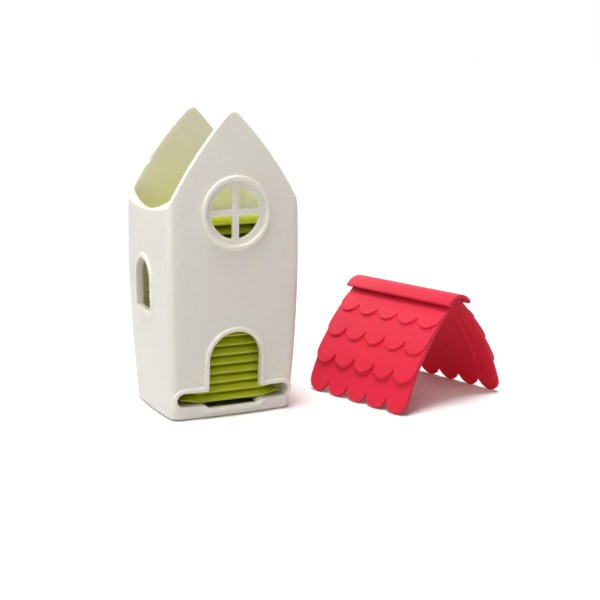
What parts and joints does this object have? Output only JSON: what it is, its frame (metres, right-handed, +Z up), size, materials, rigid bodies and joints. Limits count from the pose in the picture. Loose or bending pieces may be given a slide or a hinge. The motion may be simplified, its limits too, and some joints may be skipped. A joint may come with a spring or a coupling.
{
  "type": "tea bag dispenser",
  "caption": "House-shaped tea bag dispenser: open-topped white moulding with window, door and slot, green sachets stacked inside, and a lift-off red tiled roof standing beside it.",
  "frame": {"origin": "under the middle of the whole set's box, on the table", "axes": "+Z up, +X to the right along the front of the house, towards the roof, +Y to the back of the house"},
  "size_m": [0.2428, 0.1288, 0.1979],
  "materials": {
    "house": "satin warm white",
    "roof": "soft matte red",
    "sachet": "olive-lime coated paper"
  },
  "bodies": {
    "house": {"house_shell": "house"},
    "roof": {"roof_shell": "roof", "ridge_cap": "roof"},
    "bottom_sachet": {"sachet_01": "sachet"},
    "stack": {"sachet_02": "sachet", "sachet_03": "sachet", "sachet_04": "sachet", "sachet_05": "sachet", "sachet_06": "sachet", "sachet_07": "sachet", "sachet_08": "sachet", "sachet_09": "sachet", "sachet_10": "sachet", "sachet_11": "sachet", "sachet_12": "sachet", "sachet_13": "sachet", "sachet_14": "sachet", "sachet_15": "sachet", "sachet_16": "sachet", "sachet_17": "sachet", "sachet_18": "sachet", "sachet_19": "sachet", "sachet_20": "sachet"}
  },
  "joints": [
    {"name": "roof_lift", "type": "slide", "parent": "house", "child": "roof", "axis": [0, 0, 1], "range_m": [0, 0.2]},
    {"name": "sachet_pull", "type": "slide", "parent": "house", "child": "bottom_sachet", "axis": [0, -1, 0], "range_m": [0, 0.07]},
    {"name": "stack_lift", "type": "slide", "parent": "house", "child": "stack", "axis": [0, 0, 1], "range_m": [0, 0.2]}
  ]
}
